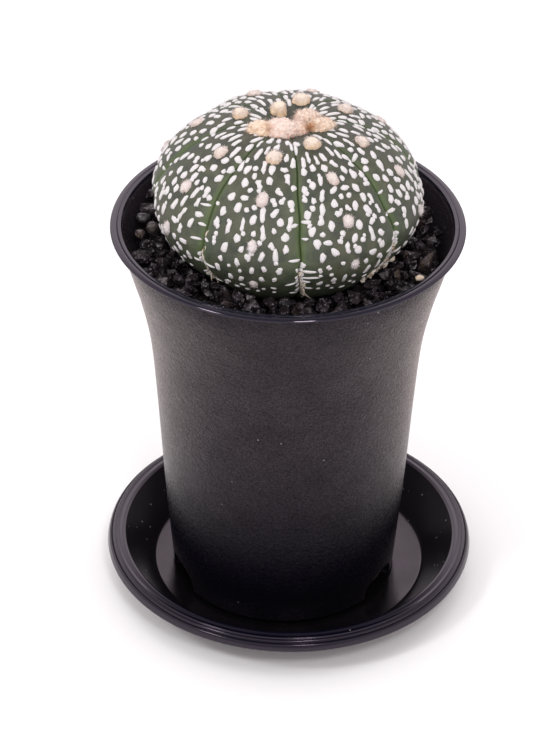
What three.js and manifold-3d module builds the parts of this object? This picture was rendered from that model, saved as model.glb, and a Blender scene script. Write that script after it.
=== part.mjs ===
// Potted star cactus: a ribbed, white-flecked dome in a black plastic pot that stands on a saucer.
// Millimetres, +Z up. The origin is the middle of the saucer's underside, and azimuth 0 is the
// front (-Y), growing towards +X.

import * as THREE from 'three';
import { mergeVertices } from 'three/addons/utils/BufferGeometryUtils.js';
import Module from 'manifold-3d';

const wasm = await Module();
wasm.setup();

// Driving dimensions
const touchGap = 0.3;
const roundSides = 40;
const weldDistance = 1e-4;

const saucerRadius = 48.5;
const saucerFloorTop = 2.2;
const saucerFloorRadius = 36.3;
const saucerLipTop = 11.7;
const saucerFootInner = 30.2;
const saucerFootOuter = 35.9;
const saucerRecess = 0.8;

const potAxisX = -1.4;
const potFootZ = saucerFloorTop + touchGap;
const potFootRadius = 29.4;
const potFloorThickness = 1.5;
const potWall = 1.2;
const potRimZ = 109;
const potRimRadius = 45;
const pressedShare = 0.038;
const pressedFrom = 62;

const archAzimuths = [60.5, 177, 293];
const archWidth = 13.4;
const archHeight = 6.8;
const archInnerRadius = 24;
const archShoulder = 0.35;

const soilTopZ = 94.7;
const gravelTopZ = 101.6;
const gravelTilt = 0.02;
const gravelBackRise = 2.6;
const gravelRiseDepth = 18;
const gravelRings = [26.8, 30.7, 34.6, 38.3];
const grainSpacing = 6.1;
const grainRadius = 2.2;
const gravelInnerReach = 28.8;
const gravelWallGap = 0.35;

const ribCount = 8;
const grooveAzimuths = [6, 53, 99, 141, 188, 231, 274, 321];
const bodyX = potAxisX - 0.3;
const bodyY = 3.1;
const bodyEquatorZ = potRimZ + 7.5;
const bodyRadius = 34.4;
const bodyRise = 23.2;
const bodyDrop = 25.3;
const bodyPower = 1.13;
const grooveDepth = 2.2;
const crownDimple = 4.4;
const crownDimpleRadius = 8.4;
const bodyLean = 0.6;
const crownFall = 0.12;
const baseFall = 2.65;
const fallStep = 0.185;
const acrossSteps = [-1, -0.92, -0.75, -0.4, 0, 0.4, 0.75, 0.92];

const rootRadius = 5.5;
const rootTipZ = 77;
const rootNeckZ = 90;

const areoleStep = 11.9;
const firstAreoleArc = [10.8, 18.2, 16.3, 10.0, 6.3, 12.8, 18.3, 14.5];
const areoleRadius = 1.45;
const areoleHeight = 0.85;
const lastAreoleArc = 54;
const youngArc = 14;
const youngGrowth = 1.25;

const fleckRowStep = 3.95;
const fleckColumnStep = 4.6;
const fleckFirstArc = 11.5;
const fleckLastArc = 53;
const fleckHeight = 0.5;
const fleckFootRadius = 1.75;
const fleckMargin = 0.84;
const fleckAreoleGap = 1.3;
const fleckScatter = 0.35;
const fleckStoneGap = 4.5;
const gravelClearance = 0.9;
const seatClearance = 0.6;
const seatSteps = [-1, -0.6, 0, 0.6];

const woolArcs = [null, 6.2, 4.3, null, null, 1.2, 6.3, 3.0];
const woolLobeRadius = 3.3;
const woolCoreRadius = 4.6;

// Seeded random numbers, so the flecks and stones fall in the same places each time
function seededRandom(seed) {
  let state = seed >>> 0;
  return () => {
    state = (state * 1664525 + 1013904223) >>> 0;
    return state / 4294967296;
  };
}

// Geometry to solid and back
function toSolid(geometry) {
  const bare = geometry.clone();
  bare.deleteAttribute('normal');
  bare.deleteAttribute('uv');
  const merged = mergeVertices(bare, weldDistance);
  const index = merged.index.array;
  const corners = [];
  for (let i = 0; i < index.length; i += 3) {
    const [a, b, c] = [index[i], index[i + 1], index[i + 2]];
    if (a !== b && b !== c && c !== a) corners.push(a, b, c);
  }
  const mesh = new wasm.Mesh({
    numProp: 3,
    vertProperties: Float32Array.from(merged.attributes.position.array),
    triVerts: Uint32Array.from(corners),
  });
  const solid = new wasm.Manifold(mesh);
  if (solid.volume() > 0) return solid;
  for (let i = 0; i < corners.length; i += 3) {
    [corners[i], corners[i + 1]] = [corners[i + 1], corners[i]];
  }
  mesh.triVerts = Uint32Array.from(corners);
  return new wasm.Manifold(mesh);
}

function largestPiece(solid) {
  const pieces = solid.decompose();
  return pieces.reduce((best, piece) => (piece.volume() > best.volume() ? piece : best));
}

function toGeometry(solid) {
  const mesh = solid.getMesh();
  const geometry = new THREE.BufferGeometry();
  geometry.setAttribute('position', new THREE.BufferAttribute(mesh.vertProperties, 3));
  geometry.setIndex(new THREE.BufferAttribute(mesh.triVerts, 1));
  geometry.computeVertexNormals();
  return geometry;
}

function fuse(solids) {
  return wasm.Manifold.union(solids);
}

// A round shape turned about the vertical line at x, y from [radius, height] points
function turned(profile, x = 0, y = 0) {
  const points = profile.map(([radius, height]) => new THREE.Vector2(radius, height));
  const geometry = new THREE.LatheGeometry(points, roundSides);
  geometry.rotateX(Math.PI / 2);
  geometry.translate(x, y, 0);
  return toSolid(geometry);
}

// Saucer: a shallow dish on a low ring, its lip stepped and sloping down to the outer edge
function makeSaucer() {
  const wallTop = saucerRadius - 4.8;
  return turned([
    [0, saucerRecess],
    [saucerFootInner - 0.8, saucerRecess],
    [saucerFootInner, 0],
    [saucerFootOuter, 0],
    [saucerFootOuter + 1, 0.6],
    [wallTop + 0.3, saucerLipTop - 2.1],
    [saucerRadius - 2.2, saucerLipTop - 2],
    [saucerRadius - 0.9, saucerLipTop - 3.3],
    [saucerRadius - 0.3, saucerLipTop - 3.4],
    [saucerRadius, saucerLipTop - 2.9],
    [saucerRadius - 0.6, saucerLipTop - 1.4],
    [saucerRadius - 1.2, saucerLipTop - 1.2],
    [saucerRadius - 1.6, saucerLipTop - 0.6],
    [saucerRadius - 2.3, saucerLipTop - 0.2],
    [saucerRadius - 3.1, saucerLipTop - 0.4],
    [saucerRadius - 4.1, saucerLipTop],
    [wallTop, saucerLipTop - 0.2],
    [saucerFloorRadius + 0.5, saucerFloorTop + 0.4],
    [saucerFloorRadius - 0.4, saucerFloorTop],
    [0, saucerFloorTop],
  ]);
}

// Pot outline, lowest first: gently flared up to a wide collar under the rim
const potOuter = [
  [potFootRadius - 0.9, potFootZ],
  [potFootRadius, potFootZ + 0.8],
  [potFootRadius + 2.2, 30],
  [potFootRadius + 3.9, 55],
  [potFootRadius + 5.6, 75],
  [potFootRadius + 8.1, 88],
  [potFootRadius + 10.6, 97],
  [potFootRadius + 12.2, 103],
  [potFootRadius + 12.8, potRimZ - 1.4],
];

// The same outline moved inwards, from the pot's floor up
function potInside(inset) {
  return [
    [potFootRadius + 0.3 - inset, potFootZ + 1.2 + potFloorThickness],
    ...potOuter.slice(2).map(([radius, height]) => [radius - inset, height]),
  ];
}

function potInnerRadius(height) {
  const outline = potOuter.slice(1);
  for (let i = 1; i < outline.length; i += 1) {
    const [lowRadius, low] = outline[i - 1];
    const [highRadius, high] = outline[i];
    if (height <= high) {
      return lowRadius + ((highRadius - lowRadius) * (height - low)) / (high - low) - potWall;
    }
  }
  return outline[outline.length - 1][0] - potWall;
}

// The thin pot is pressed in a little at the front, most at its rim
function pressedPoint(x, y, z) {
  const share = THREE.MathUtils.clamp((z - pressedFrom) / (potRimZ - pressedFrom), 0, 1);
  return [x, y < 0 ? y * (1 - pressedShare * share) : y, z];
}

function potTurned(profile) {
  return turned(profile, potAxisX).warp((point) => {
    [point[0], point[1], point[2]] = pressedPoint(...point);
  });
}

function makePotShell() {
  const floorUnder = potFootZ + 1.2;
  const rim = [
    [potRimRadius - 2.5, potRimZ - 1],
    [potRimRadius - 0.3, potRimZ - 0.8],
    [potRimRadius, potRimZ - 0.6],
    [potRimRadius, potRimZ - 0.25],
    [potRimRadius - 0.3, potRimZ],
    [potRimRadius - 1.5, potRimZ],
    [potRimRadius - 1.75, potRimZ - 0.3],
    [potRimRadius - 2.1, potRimZ],
    [potRimRadius - 2.8, potRimZ - 0.15],
  ];
  return potTurned([
    [0, floorUnder],
    [archInnerRadius, floorUnder],
    [archInnerRadius + 0.8, potFootZ],
    ...potOuter,
    ...rim,
    ...potInside(potWall).reverse(),
    [0, floorUnder + potFloorThickness],
  ]);
}

// Drain arch: an upright round-topped slot through the foot of the wall
function makeArch(azimuth) {
  const half = archWidth / 2;
  const shape = new THREE.Shape();
  shape.moveTo(-half, -1);
  shape.lineTo(half, -1);
  const shoulder = archHeight * archShoulder;
  shape.lineTo(half, shoulder);
  shape.absellipse(0, shoulder, half, archHeight - shoulder, 0, Math.PI, false);
  shape.closePath();
  const depth = potFootRadius + 4 - archInnerRadius;
  const geometry = new THREE.ExtrudeGeometry(shape, { depth, bevelEnabled: false, curveSegments: 6 });
  geometry.rotateX(Math.PI / 2);
  geometry.translate(0, -archInnerRadius, potFootZ);
  geometry.rotateZ(THREE.MathUtils.degToRad(azimuth));
  geometry.translate(potAxisX, 0, 0);
  return toSolid(geometry);
}

function makePot() {
  return makePotShell().subtract(fuse(archAzimuths.map(makeArch)));
}

// Cactus body as a formula: azimuth in degrees, fall in radians from crown (0) to base (pi)
function acrossRib(azimuth) {
  const first = grooveAzimuths[0];
  const turn = ((((azimuth - first) % 360) + 360) % 360) + first;
  let rib = ribCount - 1;
  while (turn < grooveAzimuths[rib]) rib -= 1;
  const start = grooveAzimuths[rib];
  const end = rib + 1 < ribCount ? grooveAzimuths[rib + 1] : first + 360;
  return (2 * (turn - start)) / (end - start) - 1;
}

function ribAzimuth(rib, across) {
  const start = grooveAzimuths[rib];
  const end = rib + 1 < ribCount ? grooveAzimuths[rib + 1] : grooveAzimuths[0] + 360;
  return (start + end) / 2 + (across * (end - start)) / 2;
}

// Depth below the smooth dome: slight rounding over the rib and a sharp crease at its sides
function creaseShare(across) {
  return 0.25 * 0.5 * (1 - Math.cos(Math.PI * across)) + 0.75 * Math.abs(across) ** 8;
}

function bodyPoint(azimuth, fall, lift = 0) {
  const sine = Math.max(Math.sin(fall), 0);
  const cosine = Math.cos(fall);
  const height = cosine > 0 ? bodyRise : bodyDrop;
  const slope = new THREE.Vector2(sine / bodyRadius, cosine / height).normalize();
  const sunk = grooveDepth * sine ** 0.7 * creaseShare(acrossRib(azimuth)) - lift;
  const radius = Math.max(bodyRadius * sine ** bodyPower - sunk * slope.x, 0);
  const dip = crownDimple * Math.exp(-((radius / crownDimpleRadius) ** 2));
  const up = height * Math.sign(cosine) * Math.abs(cosine) ** bodyPower - sunk * slope.y;
  const turn = THREE.MathUtils.degToRad(azimuth);
  return new THREE.Vector3(
    bodyX + radius * Math.sin(turn),
    bodyY + (bodyLean * up) / bodyRise - radius * Math.cos(turn),
    bodyEquatorZ + up - (cosine > 0 ? dip : 0),
  );
}

function bodyNormal(azimuth, fall) {
  const along = bodyPoint(azimuth, fall + 0.01).sub(bodyPoint(azimuth, fall - 0.01));
  const around = bodyPoint(azimuth + 0.5, fall).sub(bodyPoint(azimuth - 0.5, fall));
  return around.cross(along).normalize().negate();
}

// The fall reached after walking a length of skin down a rib's crest from the crown
function fallAtArc(azimuth, arc) {
  const step = 0.01;
  let walked = 0;
  let fall = 0;
  let here = bodyPoint(azimuth, 0);
  while (walked < arc && fall < 2.6) {
    fall += step;
    const next = bodyPoint(azimuth, fall);
    walked += next.distanceTo(here);
    here = next;
  }
  return fall;
}

// Closed skin of the body with its tap root, swollen by lift all over
function makeBodySkin(lift, steps = acrossSteps) {
  const falls = [];
  for (let fall = crownFall; fall < baseFall; fall += fallStep) falls.push(fall);
  const columns = [];
  for (let rib = 0; rib < ribCount; rib += 1) {
    for (const across of steps) columns.push(ribAzimuth(rib, across));
  }
  const rows = falls.map((fall) => columns.map((azimuth) => bodyPoint(azimuth, fall, lift)));
  const rootRings = [
    [rootRadius + 2.5, rootNeckZ + 1.5],
    [rootRadius, rootNeckZ - 2],
    [rootRadius - 1, rootTipZ - lift],
  ];
  for (const [radius, height] of rootRings) {
    rows.push(columns.map((azimuth) => {
      const turn = THREE.MathUtils.degToRad(azimuth);
      const reach = radius + lift;
      return new THREE.Vector3(bodyX + reach * Math.sin(turn), bodyY - reach * Math.cos(turn), height);
    }));
  }
  const count = columns.length;
  const vertices = [bodyPoint(0, 0, lift), ...rows.flat()];
  vertices.push(new THREE.Vector3(bodyX, bodyY, rootTipZ - lift));
  const index = [];
  const last = vertices.length - 1;
  for (let i = 0; i < count; i += 1) {
    const next = (i + 1) % count;
    index.push(0, 1 + i, 1 + next);
    for (let row = 0; row + 1 < rows.length; row += 1) {
      const upper = 1 + row * count;
      const lower = upper + count;
      index.push(upper + i, lower + i, lower + next, upper + i, lower + next, upper + next);
    }
    index.push(last, last - count + next, last - count + i);
  }
  const geometry = new THREE.BufferGeometry();
  const places = vertices.flatMap((vertex) => vertex.toArray());
  geometry.setAttribute('position', new THREE.Float32BufferAttribute(places, 3));
  geometry.setIndex(index);
  return toSolid(geometry);
}

// Moves a small shape, modelled along +Z, on to the skin with its long side down the rib
function onSkin(geometry, azimuth, fall) {
  const normal = bodyNormal(azimuth, fall);
  const down = bodyPoint(azimuth, fall + 0.01).sub(bodyPoint(azimuth, fall - 0.01)).normalize();
  const side = new THREE.Vector3().crossVectors(normal, down).normalize();
  const frame = new THREE.Matrix4().makeBasis(down, side, normal);
  frame.setPosition(bodyPoint(azimuth, fall));
  geometry.applyMatrix4(frame);
  return geometry;
}

function areolePlaces() {
  const places = [];
  for (let rib = 0; rib < ribCount; rib += 1) {
    const azimuth = ribAzimuth(rib, 0);
    for (let arc = firstAreoleArc[rib]; arc < lastAreoleArc; arc += areoleStep) {
      places.push({ rib, arc, azimuth, fall: fallAtArc(azimuth, arc) });
    }
  }
  return places;
}

// Areole: a low felt cushion on the rib's crest
function makeAreole({ arc, azimuth, fall }) {
  const growth = arc < youngArc ? youngGrowth : 1;
  const cushion = new THREE.SphereGeometry(1, 6, 4);
  cushion.rotateX(Math.PI / 2);
  cushion.scale(areoleRadius * growth, areoleRadius * growth, areoleHeight * growth);
  return toSolid(onSkin(cushion, azimuth, fall));
}

// Flecks: rows down each rib, longer near the crown, none on the bare strips beside the grooves
function fleckPlaces(areoles) {
  const random = seededRandom(11);
  const places = [];
  for (let rib = 0; rib < ribCount; rib += 1) {
    const crest = ribAzimuth(rib, 0);
    const half = THREE.MathUtils.degToRad(ribAzimuth(rib, 1) - crest);
    for (let arc = fleckFirstArc; arc < fleckLastArc; arc += fleckRowStep) {
      const fall = fallAtArc(crest, arc);
      const reach = bodyRadius * Math.sin(fall) * half * fleckMargin;
      const columns = Math.max(2, Math.round((2 * reach) / fleckColumnStep));
      for (let column = 0; column < columns; column += 1) {
        const share = (column + 0.5 + fleckScatter * (random() - 0.5)) / columns;
        const across = fleckMargin * (2 * share - 1);
        const place = { arc, azimuth: ribAzimuth(rib, across), fall: fall + 0.05 * (random() - 0.5) };
        const here = bodyPoint(place.azimuth, place.fall);
        const reachNeeded = areoleRadius + fleckAreoleGap;
        const clear = areoles.every((areole) => (
          bodyPoint(areole.azimuth, areole.fall).distanceTo(here) > reachNeeded
        ));
        if (clear && here.z > gravelTopZ + fleckStoneGap) places.push(place);
      }
    }
  }
  return places;
}

function makeFleck({ arc, azimuth, fall }) {
  const youth = Math.max(0, 1 - arc / 40);
  const fleck = new THREE.ConeGeometry(fleckFootRadius, 2 * fleckHeight, 4, 1, false, Math.PI / 4);
  fleck.rotateX(Math.PI / 2);
  fleck.scale(1 + 0.4 * youth, 1 - 0.25 * youth, 1);
  return toSolid(onSkin(fleck, azimuth, fall));
}

function makeCactus() {
  const areoles = areolePlaces();
  const flecks = fleckPlaces(areoles);
  return fuse([makeBodySkin(0), ...areoles.map(makeAreole), ...flecks.map(makeFleck)]);
}

// Crown wool: a loose mound over the growing point, with a lobe on each young areole
function makeWool() {
  const core = new THREE.SphereGeometry(woolCoreRadius, 7, 4);
  core.rotateX(Math.PI / 2);
  core.scale(1, 0.9, 0.5);
  const crown = bodyPoint(0, 0);
  core.translate(crown.x, crown.y, crown.z + 1);
  const lobes = [toSolid(core)];
  woolArcs.forEach((arc, rib) => {
    if (arc === null) return;
    const azimuth = ribAzimuth(rib, 0);
    const place = bodyPoint(azimuth, fallAtArc(azimuth, arc));
    const lobe = new THREE.SphereGeometry(woolLobeRadius, 6, 4);
    lobe.rotateX(Math.PI / 2);
    lobe.scale(1, 1, 0.62);
    lobe.translate(place.x, place.y, place.z + 0.5);
    lobes.push(toSolid(lobe));
  });
  return largestPiece(fuse(lobes).subtract(makeBodySkin(touchGap)));
}

// Potting soil: fills the pot below the stones, with a seat for the body and a hole for the root
function makeSoil() {
  const inside = potInside(potWall + touchGap).filter(([, height]) => height < soilTopZ);
  inside[0][1] += touchGap;
  const top = potInnerRadius(soilTopZ) - touchGap;
  const fill = potTurned([[0, inside[0][1]], ...inside, [top, soilTopZ], [0, soilTopZ]]);
  return largestPiece(fill.subtract(makeBodySkin(seatClearance, seatSteps)));
}

// Stones: a bed of angular grains round the body, each sunk into the bed, banked up at the back
function makeGrain(x, y, random) {
  const grain = new THREE.OctahedronGeometry(1);
  grain.rotateX(2 * Math.PI * random());
  grain.rotateZ(2 * Math.PI * random());
  const size = grainRadius * (0.85 + 0.4 * random());
  grain.scale(size * (0.9 + 0.3 * random()), size * (0.9 + 0.3 * random()), size * 0.8);
  grain.rotateZ(2 * Math.PI * random());
  const rise = gravelTopZ + 0.5 + 0.7 * random() - gravelTilt * (x + y);
  grain.translate(x, y, rise);
  return toSolid(grain);
}

function makeGravel() {
  const random = seededRandom(5);
  const bottomZ = soilTopZ + touchGap;
  const inside = (height) => [potInnerRadius(height) - gravelWallGap, height];
  const bed = potTurned([
    [0, bottomZ],
    inside(bottomZ),
    inside(gravelTopZ),
    [0, gravelTopZ],
  ]);
  const grains = [];
  for (const radius of gravelRings) {
    const count = Math.round((2 * Math.PI * radius) / grainSpacing);
    for (let i = 0; i < count; i += 1) {
      const turn = (2 * Math.PI * (i + 0.6 * random())) / count;
      const reach = radius + 0.9 * (random() - 0.5);
      const around = [potAxisX + reach * Math.sin(turn), -reach * Math.cos(turn)];
      const [x, y] = pressedPoint(...around, gravelTopZ);
      const grain = makeGrain(x, y, random);
      if (Math.hypot(x - bodyX, y - bodyY) > gravelInnerReach) grains.push(grain);
    }
  }
  const wallHeights = potOuter.map(([, height]) => height).filter((height) => height > bottomZ);
  const space = potTurned([
    [0, bottomZ],
    inside(bottomZ),
    ...wallHeights.map(inside),
    [0, wallHeights[wallHeights.length - 1]],
  ]);
  const banked = fuse([bed, ...grains]).warp((point) => {
    const back = THREE.MathUtils.clamp(point[1] / gravelRiseDepth, 0, 1);
    const up = THREE.MathUtils.clamp((point[2] - bottomZ) / (gravelTopZ - bottomZ), 0, 1);
    point[2] += gravelBackRise * back * up;
  });
  const heap = banked.intersect(space);
  return largestPiece(heap.subtract(makeBodySkin(gravelClearance, seatSteps)));
}

// Assembly
const cactus = new THREE.Group();

function addPart(name, solid, color, roughness) {
  const material = new THREE.MeshStandardMaterial({ color, roughness, metalness: 0 });
  const mesh = new THREE.Mesh(toGeometry(solid), material);
  mesh.name = name;
  cactus.add(mesh);
}

addPart('saucer', makeSaucer(), 0x1f1d20, 0.42);
addPart('pot', makePot(), 0x2a272a, 0.5);
addPart('potting_soil', makeSoil(), 0x2b211a, 0.95);
addPart('lava_gravel', makeGravel(), 0x1b1819, 0.8);
addPart('cactus_body', makeCactus(), 0x4a5c42, 0.6);
addPart('crown_wool', makeWool(), 0xd8b896, 1);

export default cactus;
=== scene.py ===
# Potted star cactus: its fine surfaces, its stones and fibres, and the studio round it.
# Shapes are modelled in millimetres and made metres when a piece is finished. Azimuths are in
# degrees from the front (-Y), growing towards +X.

import math
import random

import bmesh
import bpy
from mathutils import Matrix, Vector, noise


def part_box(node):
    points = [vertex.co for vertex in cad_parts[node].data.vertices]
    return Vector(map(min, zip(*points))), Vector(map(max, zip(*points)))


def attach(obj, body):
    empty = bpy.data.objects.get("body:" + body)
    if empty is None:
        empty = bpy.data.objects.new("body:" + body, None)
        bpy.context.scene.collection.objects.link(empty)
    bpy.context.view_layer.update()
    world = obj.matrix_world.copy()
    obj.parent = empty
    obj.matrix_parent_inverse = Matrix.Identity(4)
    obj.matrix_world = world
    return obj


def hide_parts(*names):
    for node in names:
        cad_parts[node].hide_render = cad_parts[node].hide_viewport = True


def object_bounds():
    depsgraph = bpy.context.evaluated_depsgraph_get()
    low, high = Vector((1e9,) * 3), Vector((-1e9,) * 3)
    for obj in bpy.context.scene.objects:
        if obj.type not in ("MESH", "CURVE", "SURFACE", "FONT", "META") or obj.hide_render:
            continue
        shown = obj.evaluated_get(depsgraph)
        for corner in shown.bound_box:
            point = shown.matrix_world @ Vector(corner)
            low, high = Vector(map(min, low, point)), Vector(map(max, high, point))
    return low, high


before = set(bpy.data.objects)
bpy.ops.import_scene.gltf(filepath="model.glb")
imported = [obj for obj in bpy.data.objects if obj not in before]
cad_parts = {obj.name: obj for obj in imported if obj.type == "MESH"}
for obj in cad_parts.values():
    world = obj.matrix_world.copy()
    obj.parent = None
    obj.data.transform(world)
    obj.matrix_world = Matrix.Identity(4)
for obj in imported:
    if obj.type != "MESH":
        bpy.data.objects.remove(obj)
cad_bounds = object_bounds()

MM = 0.001


def box_mm(node):
    """Lowest and highest corner of a node of the frame, in millimetres."""
    low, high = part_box(node)
    return low / MM, high / MM


def clamped(value, low=0.0, high=1.0):
    """Value kept between two others."""
    return max(low, min(high, value))


SAUCER_HIGH = box_mm("saucer")[1]
POT_LOW, POT_HIGH = box_mm("pot")
GRAVEL_LOW = box_mm("lava_gravel")[0]
BODY_LOW = box_mm("cactus_body")[0]
OBJECT_TOP = cad_bounds[1][2] / MM

# Camera and lights
IMAGE_HEIGHT = 754
FOCAL_PIXELS = 3700
SENSOR = 36.0
CAMERA_ELEVATION = 35.75
CAMERA_ROLL = 0.75
CAMERA_DISTANCE = 0.9619
CAMERA_TARGET = (-0.0037, 0.0, 0.061)
SOFTBOX_TARGET = (0, 0, 0.08)

# Brightness of the studio, then its fades: axis, from, to, and the shares there. It is dim at the
# horizon and overhead, and brightest behind the plant.
SKY_LEVEL = 1.15
SKY_TINT = (1.035, 0.965, 0.985)
SKY_FADES = [
    (2, 0.06, 0.4, 0.35, 1.0),
    (1, 0.1, 0.75, 1.0, 1.55),
    (2, 0.55, 0.85, 1.0, 0.3),
]

# Saucer and pot
SAUCER_RADIUS = SAUCER_HIGH.x
SAUCER_TOP = SAUCER_HIGH.z
SAUCER_FLOOR = 2.2
SAUCER_STEPS = 160
POT_X = (POT_LOW.x + POT_HIGH.x) / 2
POT_FOOT = POT_LOW.z
POT_RIM = POT_HIGH.z
POT_RIM_RADIUS = (POT_HIGH.x - POT_LOW.x) / 2
POT_FOOT_RADIUS = 29.4
POT_WALL = 1.2
POT_THIN_WALL = 0.5
POT_STEPS = 160
POT_FLARE = [
    (POT_FOOT_RADIUS, POT_FOOT + 0.8),
    (POT_FOOT_RADIUS + 2.2, 30),
    (POT_FOOT_RADIUS + 3.9, 55),
    (POT_FOOT_RADIUS + 5.6, 75),
    (POT_FOOT_RADIUS + 8.1, 88),
    (POT_FOOT_RADIUS + 10.6, 97),
    (POT_FOOT_RADIUS + 12.2, 103),
    (POT_FOOT_RADIUS + 12.8, POT_RIM - 1.4),
]
PRESSED_SHARE = 0.038
PRESSED_FROM = 62
ARCH_AZIMUTHS = [60.5, 177, 293]
ARCH_WIDTH = 13.4
ARCH_HEIGHT = 6.8
ARCH_SHOULDER = 0.35
ARCH_INNER = 24
ARCH_STEPS = 12

# Cactus body
GROOVES = [6, 53, 99, 141, 188, 231, 274, 321]
RIBS = len(GROOVES)
BODY_X = POT_X - 0.3
BODY_Y = 3.1
BODY_EQUATOR = POT_RIM + 7.5
BODY_RADIUS = 34.4
BODY_RISE = 23.2
BODY_DROP = 25.3
BODY_POWER = 1.13
BODY_LEAN = 0.6
GROOVE_DEPTH = 2.2
CROWN_DIMPLE = 4.4
CROWN_DIMPLE_RADIUS = 8.4
BASE_FALL = 2.65
ROOT_RADIUS = 4.6
ROOT_TIP = BODY_LOW.z
ROOT_SHARE = 0.12
NECK_SPREAD = 10

# Areoles, flecks and wool. The lists go by rib: the skin from the crown to the first areole, the
# skin from each areole to the next, and how far they lie beside the crest.
AREOLE_FIRST = [10.7, 18.2, 15.3, 10.0, 6.3, 11.9, 19.0, 14.7]
AREOLE_STEPS = [11.3, 12.0, 12.0, 12.0, 12.0, 12.0, 12.0, 11.8]
AREOLE_SIDES = [-0.2, -0.8, 0.0, 0.0, -0.9, 0.0, 1.6, 1.1]
AREOLE_LAST = 54
AREOLE_ROOM = (1.7, 1.8)
AREOLE_HAIRS = 110
CREST_LENGTH = 57.0
FLECKS_FROM = 8.0
LONG_FLECKS_TO = 17
CRUMBS_FROM = 51
CROWN_DRIFT = (0.4, -2.0)
WOOL_HAIRS = 560
HAIR_THICKNESS = 0.045

# Dried felt at the base: crusts on the front right rib, then crusts and threads in each groove
FRONT_CRUSTS = 17
GROOVE_CRUSTS = 12
GROOVE_THREADS = 14

# Gravel
GRAVEL_TOP = 101.6
GRAVEL_TILT = 0.02
GRAVEL_BACK_RISE = 2.8
GRAVEL_RISE_DEPTH = 18
BED_TOP = 97.6
BED_HOLE = 13.5
BED_STEPS = 120
STONE_DROPS = 1150
STONE_TRIES = 14
STONE_SHAPES = 14
STONE_CORNERS = 14
STONE_RING = (22, 39.5)
SMALL_STONES = (1.3, 1.9)
LARGE_STONES = (1.9, 2.7)
SMALL_SHARE = 0.45
STONE_NESTING = 0.78

# Smooth pebbles among the stones: middle, size and tint
PEBBLES = [
    ((-38.3, 7.4, 105.2), 1.5, 0.95),
    ((-35.7, 3.2, 104.9), 1.75, 0.94),
    ((-39.0, 1.4, 104.2), 1.3, 0.9),
    ((31.6, -17.6, 104.6), 0.95, 1.0),
]


def rounded(corners, turns=4):
    """Outline points of (radius, height, rounding) corners, each rounding a short curve."""
    points = []
    for i, (radius, height, rounding) in enumerate(corners):
        corner = Vector((radius, height))
        if rounding == 0 or i in (0, len(corners) - 1):
            points.append(corner)
            continue
        before = Vector(corners[i - 1][:2]) - corner
        after = Vector(corners[i + 1][:2]) - corner
        start = corner + before.normalized() * min(rounding, 0.45 * before.length)
        end = corner + after.normalized() * min(rounding, 0.45 * after.length)
        for turn in range(turns + 1):
            t = turn / turns
            points.append(start * (1 - t) ** 2 + corner * 2 * t * (1 - t) + end * t ** 2)
    return points


def flowing(points, spans=5):
    """A smooth line through a few points, as corners without rounding."""
    line = []
    ends = [points[0], *points, points[-1]]
    for a, b, c, d in zip(ends, ends[1:], ends[2:], ends[3:]):
        for span in range(spans):
            t = span / spans
            line.append([
                0.5 * (2 * q + (r - p) * t + (2 * p - 5 * q + 4 * r - s) * t ** 2
                       + (3 * q - p - 3 * r + s) * t ** 3)
                for p, q, r, s in zip(a, b, c, d)
            ])
    return [(radius, height, 0) for radius, height in [*line, points[-1]]]


def inset_from(radius, height, corners):
    """Corners told by how far they lie inside a radius and under a height."""
    return [(radius - inset, height - drop, rounding) for inset, drop, rounding in corners]


def face_outwards(shape):
    shape.normal_update()
    bmesh.ops.recalc_face_normals(shape, faces=shape.faces)


def turned(corners, steps, axis_x=0.0):
    """A closed round shape, spun from corners that start and end on the axis."""
    shape = bmesh.new()
    verts = [shape.verts.new((p.x, 0, p.y)) for p in rounded(corners)]
    edges = [shape.edges.new(pair) for pair in zip(verts, verts[1:])]
    bmesh.ops.spin(
        shape, geom=verts + edges, cent=(0, 0, 0), axis=(0, 0, 1), dvec=(0, 0, 0),
        angle=2 * math.pi, steps=steps, use_merge=True, use_duplicate=False,
    )
    bmesh.ops.remove_doubles(shape, verts=shape.verts, dist=0.001)
    face_outwards(shape)
    bmesh.ops.translate(shape, vec=(axis_x, 0, 0), verts=shape.verts)
    return shape


def template(shape, name):
    """A small mesh that is stamped many times."""
    mesh = bpy.data.meshes.new(name)
    shape.to_mesh(mesh)
    shape.free()
    return mesh


def ball_template(name, subdivisions):
    ball = bmesh.new()
    bmesh.ops.create_icosphere(ball, subdivisions=subdivisions, radius=1)
    return template(ball, name)


def globe_template(name, around, down):
    globe = bmesh.new()
    bmesh.ops.create_uvsphere(globe, u_segments=around, v_segments=down, radius=1)
    return template(globe, name)


def stamp(shape, mesh, place):
    """Adds a copy of a small mesh, its points moved by place, and gives their number."""
    start = len(shape.verts)
    shape.from_mesh(mesh)
    shape.verts.ensure_lookup_table()
    for vert in shape.verts[start:]:
        vert.co = place(vert.co)
    return len(shape.verts) - start


def kept_under(shape, ceiling, softness=0.8):
    """Presses the points that reach too high softly down under a height."""
    for vert in shape.verts:
        over = vert.co.z - (ceiling - softness)
        if over > 0:
            vert.co.z = ceiling - softness * math.exp(-over / softness)


def scatter(draw, *spreads):
    """A random step with its own spread along each axis."""
    return Vector([draw.gauss(0, spread) for spread in spreads])


def any_turn(draw, axis):
    return Matrix.Rotation(draw.uniform(0, 6.28), 3, axis)


def rim_noise(point, rate, seed):
    """Noise that runs round the middle of a small shape, the faster the higher its rate."""
    angle = math.atan2(point.y, point.x)
    return noise.noise(Vector((rate * math.cos(angle), rate * math.sin(angle), seed)))


def scaled(point, sizes, swell=1.0):
    """Point stretched by a size along each axis, and swollen."""
    return Vector([a * b * swell for a, b in zip(point, sizes)])


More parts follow.
